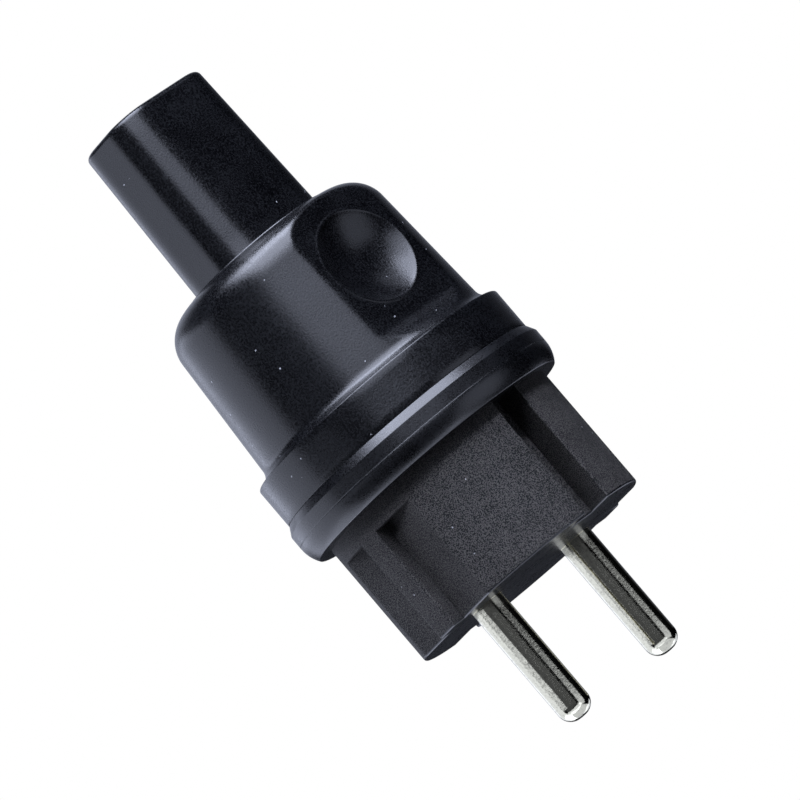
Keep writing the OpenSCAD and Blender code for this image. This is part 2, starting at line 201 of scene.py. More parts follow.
class Finishes(bpy.types.PropertyGroup):
    """Colours of the plug's materials."""

    rubber: colour("Rubber", "Black rubber of the hood", "#020203")
    rubber_bloom: colour("Rubber bloom", "Greyer bloom on the rubber", "#101113")
    dust: colour("Dust", "Specks of dust on the dark parts", "#8f9094")
    moulding: colour("Moulding", "Black thermoset of the pin carrier", "#0c0c0c")
    moulding_pale: colour("Pale moulding", "Paler grains in the thermoset", "#494745")
    nickel: colour("Nickel", "Plating of the pins", "#d3cfb8")
    nickel_dull: colour("Dull nickel", "Worn plating of the pins", "#b2ae9c")
    nylon: colour("Nylon", "Natural nylon of the retainer and clamp", "#d9d3c2")
    nylon_shade: colour("Nylon shade", "Darker flow marks in the nylon", "#c4bda9")
    steel: colour("Steel", "Zinc-plated steel of the screws", "#b7babd")
    steel_dull: colour("Dull steel", "Cloudy patches in the zinc", "#94989c")


class StageSettings(bpy.types.PropertyGroup):
    """Place of the camera and the size of the floor."""

    azimuth: turn("Azimuth", "Direction of the camera round the plug", 222.4)
    elevation: turn("Elevation", "Height of the camera above the horizon", 5.8)
    roll: turn("Roll", "Turn of the picture, so that the plug lies across it", 49.5)
    distance: length("Distance", "Distance from the camera to the plug", 1200.0)
    aim_height: length("Aim height", "Height of the point that the camera looks at", 50.3)
    aim_side: length("Aim side", "Sideways place of the point that the camera looks at", 1.477)
    view_width: length("View width", "Width of the picture at the plug", 103.6)
    daylight: colour("Light", "Cool colour of the studio light", "#e1e8ff")
    floor_r: length("Floor radius", "Radius of the flat floor", 4000.0)


def in_mm(group):
    """All sizes of a group in millimetres, by name."""
    sizes = [name for name in group.__annotations__ if isinstance(getattr(group, name), float)]
    return SimpleNamespace(**{name: getattr(group, name) / MM for name in sizes})


# Modelling


def rounded_line(corners, arc_step=0.15, closed=False):
    """Points along a line through corners: x, y, rounding if any, longest step of the run to there if any."""
    points, count = [], len(corners)
    for i, corner in enumerate(corners):
        rounding, step = (*corner[2:], *(0, None)[len(corner) - 2:])
        here = Vector(corner[:2])
        if not closed and i in (0, count - 1) or rounding == 0:
            bend = [here]
        else:
            before = (Vector(corners[i - 1][:2]) - here).normalized()
            after = (Vector(corners[(i + 1) % count][:2]) - here).normalized()
            half = before.angle(after) / 2
            centre = here + (before + after).normalized() * rounding / math.sin(half)
            first = here + before * rounding / math.tan(half) - centre
            last = here + after * rounding / math.tan(half) - centre
            sweep = first.angle_signed(last)
            steps = max(2, math.ceil(abs(sweep) * rounding / arc_step))
            bend = [centre + Matrix.Rotation(-sweep * n / steps, 2) @ first for n in range(steps + 1)]
        if points and step:
            cuts = math.ceil((bend[0] - points[-1]).length / step)
            points += [points[-1].lerp(bend[0], n / cuts) for n in range(1, cuts)]
        points += bend
    return points


def object_mode():
    """Leaves edit mode."""
    if bpy.context.mode != "OBJECT":
        bpy.ops.object.mode_set(mode="OBJECT")


def activate(piece):
    """Leaves edit mode and makes the piece the only one that is selected."""
    object_mode()
    bpy.ops.object.select_all(action="DESELECT")
    bpy.context.view_layer.objects.active = piece
    piece.select_set(True)


def modify(piece, kind, **settings):
    """Gives the active piece a modifier with its settings and applies it."""
    bpy.ops.object.modifier_add(type=kind)
    step = piece.modifiers[-1]
    for key, value in settings.items():
        setattr(step, key, value)
    bpy.ops.object.modifier_apply(modifier=step.name)


def to_metres(piece):
    """Scales a piece that is drawn in millimetres."""
    activate(piece)
    piece.scale = (MM, MM, MM)
    bpy.ops.object.transform_apply(location=True, rotation=True, scale=True)


def start_piece(name):
    """Starts an empty mesh piece and leaves it in edit mode."""
    object_mode()
    bpy.ops.mesh.primitive_plane_add(size=1)
    piece = bpy.context.active_object
    piece.name = piece.data.name = name
    bpy.ops.object.mode_set(mode="EDIT")
    bpy.ops.mesh.delete(type="VERT")
    return piece


def select(piece, kind, test):
    """Selects the edges or faces of the piece in edit mode that pass a test, and nothing else."""
    bpy.ops.mesh.select_mode(type={"edges": "EDGE", "faces": "FACE"}[kind])
    bpy.ops.mesh.select_all(action="DESELECT")
    mesh = bmesh.from_edit_mesh(piece.data)
    for part in [part for part in getattr(mesh, kind) if test(part)]:
        part.select = True
    mesh.select_flush_mode()
    bmesh.update_edit_mesh(piece.data)


def draw_line(piece, points, closed=False):
    """Draws a line of edges through 3-D points: a ring, opened unless it is closed."""
    bpy.ops.mesh.select_mode(type="VERT")
    bpy.ops.mesh.select_all(action="DESELECT")
    bpy.ops.mesh.primitive_circle_add(vertices=len(points))
    mesh = bmesh.from_edit_mesh(piece.data)
    vertex = next(v for v in mesh.verts if v.select)
    edge = vertex.link_edges[0]
    for point in points:
        vertex.co = point
        vertex = edge.other_vert(vertex)
        last, edge = edge, next(e for e in vertex.link_edges if e != edge)
    if not closed:
        mesh.edges.remove(last)
    bmesh.update_edit_mesh(piece.data)


def spin_section(piece, section, sectors, closed=False):
    """Draws a section of (radius, height) points and spins it by sectors of (degrees, steps)."""
    draw_line(piece, [(p.x, 0, p.y) for p in section], closed)
    for degrees, steps in sectors:
        bpy.ops.mesh.spin(steps=steps, angle=math.radians(degrees), center=(0, 0, 0), axis=(0, 0, 1))
    close_mesh()


def close_mesh():
    """Merges the seams and poles of the mesh in edit mode and turns its faces outwards."""
    bpy.ops.mesh.select_all(action="SELECT")
    bpy.ops.mesh.remove_doubles(threshold=SAME_POINT)
    bpy.ops.mesh.normals_make_consistent(inside=False)


def cut_or_join(piece, tool, operation):
    """Cuts the tool out of the piece, or joins it to the piece, and removes the tool."""
    activate(piece)
    modify(piece, "BOOLEAN", operation=operation, solver="EXACT", object=tool)
    bpy.data.objects.remove(tool)
    if not piece.data.polygons:
        raise RuntimeError(f"{piece.name} was lost when {operation.lower()} was applied")


def round_tool(name, corners, place=(0, 0, 0), about="Z"):
    """A turned cutting tool through (radius, height) corners, on an axis parallel to Z or lying along Y."""
    tool = start_piece(name)
    spin_section(tool, rounded_line(corners), [(360, 48)])
    object_mode()
    if about == "Y":
        tool.data.transform(Matrix.Rotation(-math.pi / 2, 4, "X"))
    tool.data.transform(Matrix.Translation(place))
    return tool


def finish_piece(piece, materials, replaced, smooth=35, flat_faces=False):
    """Shades the piece, scales it to metres, gives it its materials and ties it to the frame."""
    to_metres(piece)
    bpy.ops.object.shade_smooth_by_angle(angle=math.radians(smooth))
    if flat_faces:
        modify(piece, "WEIGHTED_NORMAL", keep_sharp=True)
    for material in materials:
        piece.data.materials.append(material)
    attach(piece, BODY)
    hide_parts(replaced)


# Materials


def add(tree, kind, inputs=None, **settings):
    """Adds a node with its settings; an input given as another node's output is linked."""
    made = tree.nodes.new(kind)
    for key, value in settings.items():
        setattr(made, key, value)
    for key, value in (inputs or {}).items():
        if isinstance(value, bpy.types.NodeSocket):
            tree.links.new(value, made.inputs[key])
        else:
            made.inputs[key].default_value = value
    return made


def new_material(name):
    """An empty node material."""
    material = bpy.data.materials.new(name)
    material.use_nodes = True
    material.node_tree.nodes.clear()
    return material, material.node_tree


def per_mm(size):
    """Texture scale whose features are that many millimetres wide."""
    return 1 / (size * MM)


def rgba(value):
    """A colour property as a socket value."""
    return (*value, 1.0)


def noise(tree, place, size, detail, **others):
    """Noise with features of one size in millimetres, as a value about 0.5."""
    inputs = {"Vector": place, "Scale": per_mm(size), "Detail": detail, **others}
    return add(tree, "ShaderNodeTexNoise", inputs).outputs["Fac"]


def spread(tree, value, given, to=(0.0, 1.0), **settings):
    """Carries a value from the given range to another one."""
    inputs = {"Value": value, "From Min": given[0], "From Max": given[1], "To Min": to[0], "To Max": to[1]}
    return add(tree, "ShaderNodeMapRange", inputs, **settings).outputs["Result"]


def blend(tree, share, first, second):
    """Mixes two colours by a share."""
    return add(tree, "ShaderNodeMix", {0: share, 6: first, 7: second}, data_type="RGBA").outputs[2]


def maths(tree, operation, first, second):
    """Result of a calculation with two values."""
    return add(tree, "ShaderNodeMath", {0: first, 1: second}, operation=operation).outputs[0]


def relief(tree, height, depth, **others):
    """Normal of a relief of that depth in millimetres."""
    inputs = {"Height": height, "Distance": depth * MM, "Strength": 1.0, **others}
    return add(tree, "ShaderNodeBump", inputs).outputs["Normal"]


def textured(name):
    """An empty node material with the place on the piece that its textures follow."""
    material, tree = new_material(name)
    return material, tree, add(tree, "ShaderNodeTexCoord").outputs["Object"]


def surface(material, base, roughness, normal, others):
    """The material, with its surface shader and its output."""
    tree = material.node_tree
    shader = add(tree, "ShaderNodeBsdfPrincipled", {
        "Base Color": base, "Roughness": roughness, "Normal": normal, **others})
    add(tree, "ShaderNodeOutputMaterial", {"Surface": shader.outputs[0]})
    return material


def mottle(tree, place, size, cloud_size, share):
    """Grains of a size in millimetres mixed with wider clouds, and the grains alone, as values about 0.5."""
    grain = noise(tree, place, size, detail=2.0, Roughness=0.6)
    cloud = noise(tree, place, cloud_size, detail=5.0, Roughness=0.6)
    return add(tree, "ShaderNodeMix", {0: share, 2: cloud, 3: grain}).outputs[0], grain


def dust(tree, place, base, colours):
    """The base colour with pale specks of dust, of which few lie on the skin."""
    cells = add(tree, "ShaderNodeTexVoronoi", {"Vector": place, "Scale": per_mm(DUST_CELL)})
    near = maths(tree, "LESS_THAN", cells.outputs["Distance"], DUST_RADIUS)
    draw = add(tree, "ShaderNodeSeparateColor", {"Color": cells.outputs["Color"]})
    rare = maths(tree, "GREATER_THAN", draw.outputs["Red"], DUST_EMPTY)
    return blend(tree, maths(tree, "MULTIPLY", near, rare), base, rgba(colours.dust))


# Moulded rubber: nearly black with a soft satin gloss, finely mottled by handling, with a few specks of dust.
# The grains are drawn some 0.4 mm wide, coarser than the real ones, so that they show at the photo's size.
def moulded_rubber(colours):
    material, tree, place = textured("moulded_rubber")
    tone, grain = mottle(tree, place, size=0.24, cloud_size=7, share=0.7)
    bloom = spread(tree, tone, (0.4, 0.64))
    base = blend(tree, bloom, rgba(colours.rubber), rgba(colours.rubber_bloom))
    gloss = spread(tree, tone, (0.35, 0.65), to=(0.17, 0.35))
    # Sink marks some 12 mm wide under the skin's grains
    waves = relief(tree, noise(tree, place, size=12, detail=1.0), depth=0.1)
    skin = relief(tree, grain, depth=0.02, Normal=waves)
    base = dust(tree, place, base, colours)
    return surface(material, base, gloss, skin, {"IOR": 1.5, "Specular IOR Level": 0.5})


# Spark-grained thermoset: the sand-like skin of an eroded mould, dull and paler than the rubber, with dust.
# Its grains are drawn some 0.3 mm wide.
def grained_thermoset(colours):
    material, tree, place = textured("grained_thermoset")
    tone, grain = mottle(tree, place, size=0.14, cloud_size=5, share=0.9)
    pale = spread(tree, tone, (0.46, 0.55))
    base = blend(tree, pale, rgba(colours.moulding), rgba(colours.moulding_pale))
    gloss = spread(tree, tone, (0.3, 0.7), to=(0.55, 0.7))
    skin = relief(tree, grain, depth=0.08)
    base = dust(tree, place, base, colours)
    return surface(material, base, gloss, skin, {"IOR": 1.55, "Specular IOR Level": 0.12})


# Polished thermoset: the same moulding where the mould is smooth, as dark as the rubber, with a satin gloss.
def polished_thermoset(colours):
    material, tree, place = textured("polished_thermoset")
    tone, grain = mottle(tree, place, size=0.2, cloud_size=4, share=0.6)
    bloom = spread(tree, tone, (0.4, 0.64))
    base = blend(tree, bloom, rgba(colours.rubber), rgba(colours.rubber_bloom))
    gloss = spread(tree, tone, (0.35, 0.65), to=(0.22, 0.36))
    skin = relief(tree, grain, depth=0.01)
    return surface(material, base, gloss, skin, {"IOR": 1.55, "Specular IOR Level": 0.5})


# Nickel plate on turned brass: bright, with fine draw lines along the pin and small dull pits.
def nickel_plate(colours):
    material, tree, place = textured("nickel_plate")
    along = add(tree, "ShaderNodeMapping", {"Vector": place, "Scale": (1.0, 1.0, 0.08)}).outputs[0]
    lines = noise(tree, along, size=0.25, detail=3.0)
    pits = noise(tree, place, size=0.35, detail=3.0, Roughness=0.6)
    worn = spread(tree, pits, (0.5, 0.7))
    base = blend(tree, worn, rgba(colours.nickel), rgba(colours.nickel_dull))
    gloss = spread(tree, pits, (0.3, 0.7), to=(0.08, 0.17))
    dents = relief(tree, pits, depth=0.01)
    skin = relief(tree, lines, depth=0.006, Normal=dents)
    return surface(material, base, gloss, skin, {"Metallic": 1.0})


# Natural nylon: creamy and slightly waxy, with soft flow marks.
def moulded_nylon(colours):
    material, tree, place = textured("moulded_nylon")
    flow = noise(tree, place, size=4, detail=3.0, Distortion=0.6)
    base = blend(tree, flow, rgba(colours.nylon), rgba(colours.nylon_shade))
    gloss = spread(tree, flow, (0.0, 1.0), to=(0.35, 0.5))
    skin = relief(tree, noise(tree, place, size=0.4, detail=2.0), depth=0.01)
    waxy = {"IOR": 1.53, "Subsurface Weight": 0.1, "Subsurface Scale": 0.5 * MM}
    return surface(material, base, gloss, skin, waxy)


# Zinc-plated steel: cool grey, slightly cloudy, with a fine grain.
def zinc_steel(colours):
    material, tree, place = textured("zinc_steel")
    cloud = noise(tree, place, size=0.8, detail=4.0)
    base = blend(tree, cloud, rgba(colours.steel), rgba(colours.steel_dull))
    gloss = spread(tree, cloud, (0.0, 1.0), to=(0.22, 0.4))
    skin = relief(tree, noise(tree, place, size=0.15, detail=2.0), depth=0.008)
    return surface(material, base, gloss, skin, {"Metallic": 1.0})


# Operators


def softplus(value, softness):
    """Zero below zero and the value itself above it, with a soft bend between."""
    return softness * np.logaddexp(0, value / softness)


def sleeve_outline(angle, z, s):
    """Points and outward normals of the sleeve's drafted rounded rectangle, at polar angles."""
    grow = s.sleeve_draft * z / s.back
    corner = s.sleeve_corner + grow
    cx, cy = s.sleeve_w / 2 - s.sleeve_corner, s.sleeve_t / 2 - s.sleeve_corner
    c, n = np.abs(np.cos(angle)), np.abs(np.sin(angle))
    reach = c * cx + n * cy
    ray = reach + np.sqrt(np.maximum(reach ** 2 - cx ** 2 - cy ** 2 + corner ** 2, 0))
    side, top = (cx + corner) / np.maximum(c, 1e-9), (cy + corner) / np.maximum(n, 1e-9)
    on_side, on_top = side * n <= cy, top * c <= cx
    ray = np.where(on_side, side, np.where(on_top, top, ray))
    point = np.stack([ray * c, ray * n], 1)
    normal = np.stack([
        np.where(on_side, 1, np.where(on_top, 0, (point[:, 0] - cx) / corner)),
        np.where(on_side, 0, np.where(on_top, 1, (point[:, 1] - cy) / corner))], 1)
    sign = np.stack([np.sign(np.cos(angle)), np.sign(np.sin(angle))], 1)
    return point * sign, normal * sign


class PLUG_OT_hood(bpy.types.Operator):
    """Spin the hood's section, square its cable sleeve and press in the thumb flats with their dishes"""

    bl_idname = "plug.make_hood"
    bl_label = "Rubber hood"

    # Nominal radius of the sleeve while it is spun, before it is squared
    sleeve_r = 8.0
    # Half angle of the finely spun sector round a thumb flat, in degrees
    fine_half = 32
    # Steps in which each coarse sector beside it is spun
    coarse_steps = 22
    # Rows of the section on the surface that is pressed, in millimetres
    row = 0.165
    # Roundings of the fine lip round the back: at its inner foot, its crest and its outer foot
    lip_in, lip_crest, lip_out = 0.06, 0.12, 0.04
    # Snap groove in the socket: distance from the seam, depth, and half heights of floor and mouth
    groove_place, groove_depth, groove_floor, groove_mouth = 2.4, 0.7, 0.4, 1.1
    # Least distance of the pressed skin from the middle plane, its reach past the band's foot, and the
    # distance that tells it from the hollow inside
    press_y, press_over, skin = 8, 1, 0.5
    # Distance of a dish's fine lip from the rim, and its width
    dish_lip_out, dish_lip_w = 0.1, 0.22

    def section(self, s):
        """Closed section: sleeve, back, shoulder, wall, cove and band, then the hollow inside."""
        z_band = s.seam - s.band_h
        slope = (s.front_r - s.rear_r) / (z_band - s.cove_r - s.back - s.shoulder_r)
        foot_r = s.rear_r - slope * s.shoulder_r
        cove_foot = s.front_r + slope * s.cove_r
        z_socket = s.seam - s.socket_depth
        z_groove, groove_r = s.seam - self.groove_place, s.socket_r + self.groove_depth
        return rounded_line([
            (s.bore_r, 0, s.bore_edge),
            (self.sleeve_r, 0, s.sleeve_edge, 0.8),
            (self.sleeve_r, s.back, s.sleeve_root, 3),
            (s.lip_r - s.lip_w, s.back, self.lip_in, 0.5),
            (s.lip_r - s.lip_w / 2, s.back - s.lip_h, self.lip_crest),
            (s.lip_r + s.lip_w / 2, s.back - s.lip_h, self.lip_crest),
            (s.lip_r + s.lip_w, s.back, self.lip_out),
            (foot_r, s.back, s.shoulder_r),
            (cove_foot, z_band, s.cove_r, self.row),
            (s.band_r, z_band, s.band_edge),
            (s.band_r, s.seam + s.lap, s.seam_edge, 1),
            (s.socket_r, s.seam + s.lap, 0.1),
            (s.socket_r, z_groove + self.groove_mouth),
            (groove_r, z_groove + self.groove_floor),
            (groove_r, z_groove - self.groove_floor),
            (s.socket_r, z_groove - self.groove_mouth),
            (s.socket_r, z_socket),
            (s.chamber_r, z_socket),
            (s.chamber_r, s.chamber_back, s.chamber_round, 2),
            (s.bore_r, s.chamber_back, 0.2, 2),
        ], closed=True)

    def square_sleeve(self, co, s):
        """Turns the round sleeve into a drafted rounded rectangle that runs into the round back."""
        r, z = np.hypot(co[:, 0], co[:, 1]), co[:, 2]
        rim_r = s.lip_r - s.lip_w
        edge_r, root_r = self.sleeve_r - s.sleeve_edge, self.sleeve_r + s.sleeve_root
        inner_r = s.bore_r + s.bore_edge
        part = (z < s.back + SAME_POINT) & (r > inner_r + SAME_POINT) & (r < rim_r - self.lip_in)
        angle = np.arctan2(co[part, 1], co[part, 0])
        ring = np.stack([np.cos(angle), np.sin(angle)], 1)
        r, z = r[part][:, None], z[part]
        outline, normal = sleeve_outline(angle, z, s)
        end = (r - inner_r) / (edge_r - inner_r)
        back = (r - root_r) / (rim_r - root_r)
        on_end = inner_r * ring * (1 - end) + (outline - s.sleeve_edge * normal) * end
        on_side = outline - (self.sleeve_r - r) * normal
        on_back = (outline + s.sleeve_root * normal) * (1 - back) + rim_r * ring * back
        co[part, :2] = np.where(r < edge_r, on_end, np.where(r > root_r, on_back, on_side))

    def press_thumbs(self, co, s):
        """Presses the two tilted thumb flats and their dishes into the outside of the hood."""
        z_band = s.seam - s.band_h
        z_low, z_high = s.back + s.shoulder_r, z_band - s.cove_r
        half = s.flat_w / 2
        y_low, y_high = math.sqrt(s.rear_r ** 2 - half ** 2), math.sqrt(s.front_r ** 2 - half ** 2)
        tilt = math.atan((y_high - y_low) / (z_high - z_low))
        r = np.hypot(co[:, 0], co[:, 1])
        part = (co[:, 2] < z_band + self.press_over) & (co[:, 2] > s.back) & (np.abs(co[:, 1]) > self.press_y)
        part &= (r > s.chamber_r + self.skin) | (co[:, 2] < s.chamber_back - self.skin)
        x, y, z = np.abs(co[part, 0]), np.abs(co[part, 1]), co[part, 2]
        plane = y_low + (z - z_low) * math.tan(tilt)
        # The fillet at the flat's end lifts the plane up to the band
        run = z - (z_band - s.flat_end - s.flat_r)
        bend = np.clip(run, 0, s.flat_r)
        plane += s.flat_r - np.sqrt(s.flat_r ** 2 - bend ** 2) + np.maximum(run - s.flat_r, 0)
        pressed = y - softplus(y - plane, s.flat_soft)
        ball = (s.dish_d ** 2 / 4 + s.dish_depth ** 2) / (2 * s.dish_depth)
        away = np.hypot(x, (z - s.back - s.dish_rise) / math.cos(tilt))
        hollow = np.sqrt(np.maximum(ball ** 2 - away ** 2, 0)) - (ball - s.dish_depth)
        lip = s.dish_lip * np.exp(-((away - s.dish_d / 2 - self.dish_lip_out) / self.dish_lip_w) ** 2)
        pressed -= (softplus(hollow, s.dish_soft) - lip) * math.cos(tilt)
        co[part, 1] = np.sign(co[part, 1]) * pressed

    def execute(self, context):
        s = in_mm(context.scene.plug_hood)
        piece = start_piece("rubber_hood")
        coarse, steps = 90 - self.fine_half, self.coarse_steps
        fine = (2 * self.fine_half, 4 * self.fine_half)
        sectors = [(coarse, steps), fine, (2 * coarse, 2 * steps), fine, (coarse, steps)]
        spin_section(piece, self.section(s), sectors, closed=True)
        object_mode()
        co = np.empty(len(piece.data.vertices) * 3)
        piece.data.vertices.foreach_get("co", co)
        co = co.reshape(-1, 3)
        inside = np.hypot(co[:, 0], co[:, 1]) < s.chamber_r + SAME_LEVEL
        inside &= co[:, 2] > s.chamber_back - SAME_LEVEL
        inside &= co[:, 2] < s.seam - s.socket_depth + SAME_LEVEL
        self.square_sleeve(co, s)
        self.press_thumbs(co, s)
        co[inside, 1] = np.clip(co[inside, 1], -s.chamber_y, s.chamber_y)
        piece.data.vertices.foreach_set("co", co.ravel())
        piece.data.update()
        rubber = moulded_rubber(context.scene.plug_finishes)
        finish_piece(piece, [rubber], "hood", smooth=50)
        return {"FINISHED"}


class PLUG_OT_carrier(bpy.types.Operator):
    """Turn the spigot and flange, extrude the contoured insert, join them and bore the pin holes"""

    bl_idname = "plug.make_carrier"
    bl_label = "Pin carrier"

    # Half height of the snap bead's crest
    bead_half = 0.3
    # Straight pieces that make up the flange's bowed front
    bow_steps = 6
    # Length of the straight pieces of the insert's circle
    arc_run = 0.5
    # Depth to which the insert is sunk into the flange
    insert_root = 1
    # Least angle of an edge that is rounded, and the largest between faces that are level, in radians
    sharp, level = math.radians(20), 0.001

    def flange(self, s):
        """Open section from the deck round the spigot and the flange to the axis."""
        z_rear, z_face = s.seam + s.rear_h, s.seam + s.flange_h
        z_land = z_rear + s.land_h
        z_bead = (s.seam + s.spigot_low) / 2
        drop, rise = s.flange_r - s.front_r, z_face - z_land
        arc_r = (rise ** 2 + drop ** 2) / (2 * drop)
        climbs = [rise * n / self.bow_steps for n in range(1, self.bow_steps)]
        bow = [(s.flange_r - arc_r + math.sqrt(arc_r ** 2 - z ** 2), z_land + z) for z in climbs]
        g, half = s.groove, self.bead_half
        return rounded_line([
            (0, s.deck),
            (s.deck_r, s.deck, 0.2),
            (s.deck_r, s.spigot_low, 0.2),
            (s.spigot_r, s.spigot_low, 0.3),
            (s.spigot_r, z_bead - half - s.bead),
            (s.spigot_r + s.bead, z_bead - half),
            (s.spigot_r + s.bead, z_bead + half),
            (s.spigot_r, z_bead + half + s.bead),
            (s.spigot_r, s.seam + s.lap),
            (s.seam_r, s.seam + s.lap, 0.1),
            (s.flange_r, z_rear, s.edge),
            (s.flange_r, z_land - 2 * g, 0.04),
            (s.flange_r - g, z_land - g, 0.03),
            (s.flange_r, z_land, 0.04),
            *bow,
            (s.front_r, z_face, s.edge),
            (0, z_face),
        ], arc_step=0.06)

    def arc(self, s, start, stop):
        """Points on the insert's circle between two points, ends included."""
        first, last = math.atan2(start[1], start[0]), math.atan2(stop[1], stop[0])
        sweep = (last - first) % (2 * math.pi)
        steps = max(2, round(sweep * s.insert_r / self.arc_run))
        angles = [first + sweep * n / steps for n in range(steps + 1)]
        return [(s.insert_r * math.cos(angle), s.insert_r * math.sin(angle)) for angle in angles]

    def outlines(self, s):
        """Loops of the insert's outline and of the four ledges at the foot of its side recesses."""
        rib, slot, floor, bottom = s.rib_w / 2, s.slot_w / 2, s.recess_floor, s.slot_floor
        on_rib = (math.sqrt(s.insert_r ** 2 - rib ** 2), rib)
        on_side = (floor, math.sqrt(s.insert_r ** 2 - floor ** 2))
        on_slot = (slot, math.sqrt(s.insert_r ** 2 - slot ** 2))
        rib_arc = self.arc(s, (on_rib[0], -rib), on_rib)
        side_arc = self.arc(s, on_side, on_slot)
        quarter = [(floor, rib)] + side_arc + [(slot, bottom)]
        ledge = [(floor, rib)] + self.arc(s, on_rib, on_side)
        loop, ledges = [], []
        for sx, sy in [(1, 1), (-1, 1), (-1, -1), (1, -1)]:
            if sx == sy:
                loop += [(sx * x, sy * y) for x, y in rib_arc]
            loop += [(sx * x, sy * y) for x, y in (quarter if sx == sy else quarter[::-1])]
            ledges.append([(sx * x, sy * y) for x, y in ledge])
        return loop, ledges

    def insert(self, s):
        """The contoured insert, from inside the flange to the front face, with its outer edges rounded."""
        piece = start_piece("insert")
        z_face = s.seam + s.flange_h
        z_low, z_plinth = z_face - self.insert_root, z_face + s.plinth_h
        loop, ledges = self.outlines(s)
        for outline in [loop] + ledges:
            draw_line(piece, [(x, y, z_plinth) for x, y in outline], closed=True)
            bpy.ops.mesh.edge_face_add()
        close_mesh()
        select(piece, "faces", lambda f: len(f.verts) == len(loop))
        bpy.ops.mesh.extrude_region_move(TRANSFORM_OT_translate={"value": (0, 0, s.front - z_plinth)})
        select(piece, "edges", lambda e: e.is_boundary)
        bpy.ops.mesh.extrude_edges_move(TRANSFORM_OT_translate={"value": (0, 0, z_low - z_plinth)})
        bpy.ops.mesh.edge_face_add()
        close_mesh()
        # The level edges on the smooth outside, where the two extrusions meet, would end the roundings badly
        select(piece, "edges", lambda e: all(abs(v.co.z - z_plinth) < SAME_LEVEL for v in e.verts)
               and e.calc_face_angle(0) < self.level)
        bpy.ops.mesh.dissolve_edges(use_verts=False)
        mesh = bmesh.from_edit_mesh(piece.data)
        weight = mesh.edges.layers.float.new("bevel_weight_edge")
        for edge in mesh.edges:
            if edge.is_convex and edge.calc_face_angle(0) > self.sharp:
                heights = [v.co.z for v in edge.verts]
                at_front = max(heights) > s.front - SAME_LEVEL
                if min(heights) > z_plinth - SAME_LEVEL:
                    edge[weight] = 1 if at_front else s.ledge_edge / s.insert_edge
        object_mode()
        modify(piece, "BEVEL", limit_method="WEIGHT", width=s.insert_edge, segments=3,
               use_clamp_overlap=False)
        bpy.ops.object.mode_set(mode="EDIT")
        close_mesh()
        object_mode()
        return piece

    def execute(self, context):
        s, pins = in_mm(context.scene.plug_carrier), in_mm(context.scene.plug_pins)
        finishes = context.scene.plug_finishes
        piece = start_piece("pin_carrier_moulding")
        spin_section(piece, self.flange(s), [(360, 160)])
        cut_or_join(piece, self.insert(s), "UNION")
        under, over = s.deck - OVERCUT, s.front + OVERCUT
        z_collar, z_screw = s.deck + s.collar_h, s.deck + s.screw_depth
        pin_bore = [(0, under), (s.collar_r, under), (s.collar_r, z_collar), (s.bore_r, z_collar),
                    (s.bore_r, over), (0, over)]
        for side in (-1, 1):
            cut_or_join(piece, round_tool("bore", pin_bore, (side * pins.place, 0, 0)), "DIFFERENCE")
        screw_bore = [(0, under), (s.screw_r, under), (s.screw_r, z_screw), (0, z_screw)]
        cut_or_join(piece, round_tool("bore", screw_bore), "DIFFERENCE")
        finish_piece(piece, [grained_thermoset(finishes), polished_thermoset(finishes)],
                     "pin_carrier", smooth=40, flat_faces=True)
        # The flange and the front face with its rounded edges are polished, the insert's sides are grained
        z_face, z_edge = (s.seam + s.flange_h) * MM, (s.front - s.insert_edge) * MM
        for face in piece.data.polygons:
            z = face.center.z
            face.material_index = int(z < z_face + SAME_LEVEL * MM or z > z_edge)
        return {"FINISHED"}


class PLUG_OT_pins(bpy.types.Operator):
    """Turn one contact pin, cut its terminal and copy it to the other side"""

    bl_idname = "plug.make_pins"
    bl_label = "Contact pins"

    # Length of the terminal screw's hole, and width and depth of the block that cuts the pillar's flat
    hole_length, block_w, block_t = 8, 12, 6

    def execute(self, context):
        s, carrier = in_mm(context.scene.plug_pins), in_mm(context.scene.plug_carrier)
        plate = nickel_plate(context.scene.plug_finishes)
        z_collar, z_wire = carrier.deck + s.collar_h, s.low + s.wire_depth
        section = rounded_line([
            (0, s.tip),
            (s.pin_r, s.tip, s.tip_r),
            (s.pin_r, carrier.front, 0, 2),
            (s.shank_r, carrier.front, 0.05),
            (s.shank_r, z_collar, 0, 4),
            (s.collar_r, z_collar, 0.1),
            (s.collar_r, carrier.deck, 0.1),
            (s.pillar_r, carrier.deck),
            (s.pillar_r, s.low, 0.15),
            (s.wire_r, s.low, 0.1),
            (s.wire_r, z_wire),
            (0, z_wire),
        ])
        piece = start_piece("contact_pin")
        spin_section(piece, section, [(360, 72)])
        hole = [(0, 0), (s.screw_r, 0), (s.screw_r, self.hole_length), (0, self.hole_length)]
        cut_or_join(piece, round_tool("hole", hole, (0, 0, s.low + s.screw_rise), "Y"), "DIFFERENCE")
        bpy.ops.mesh.primitive_cube_add(size=1)
        flat = bpy.context.active_object
        flat.data.transform(Matrix.Diagonal((self.block_w, self.block_t, s.pillar_h + OVERCUT, 1)))
        flat.data.transform(Matrix.Translation(
            (0, s.pillar_flat + self.block_t / 2, s.low + (s.pillar_h - OVERCUT) / 2)))
        cut_or_join(piece, flat, "DIFFERENCE")
        for name, node, side in (("contact_pin_left", "pin_left", -1), ("contact_pin_right", "pin_right", 1)):
            copy = piece.copy()
            copy.data = piece.data.copy()
            copy.name = copy.data.name = name
            context.scene.collection.objects.link(copy)
            copy.data.transform(Matrix.Translation((side * s.place, 0, 0)))
            finish_piece(copy, [plate], node)
        bpy.data.objects.remove(piece)
        return {"FINISHED"}


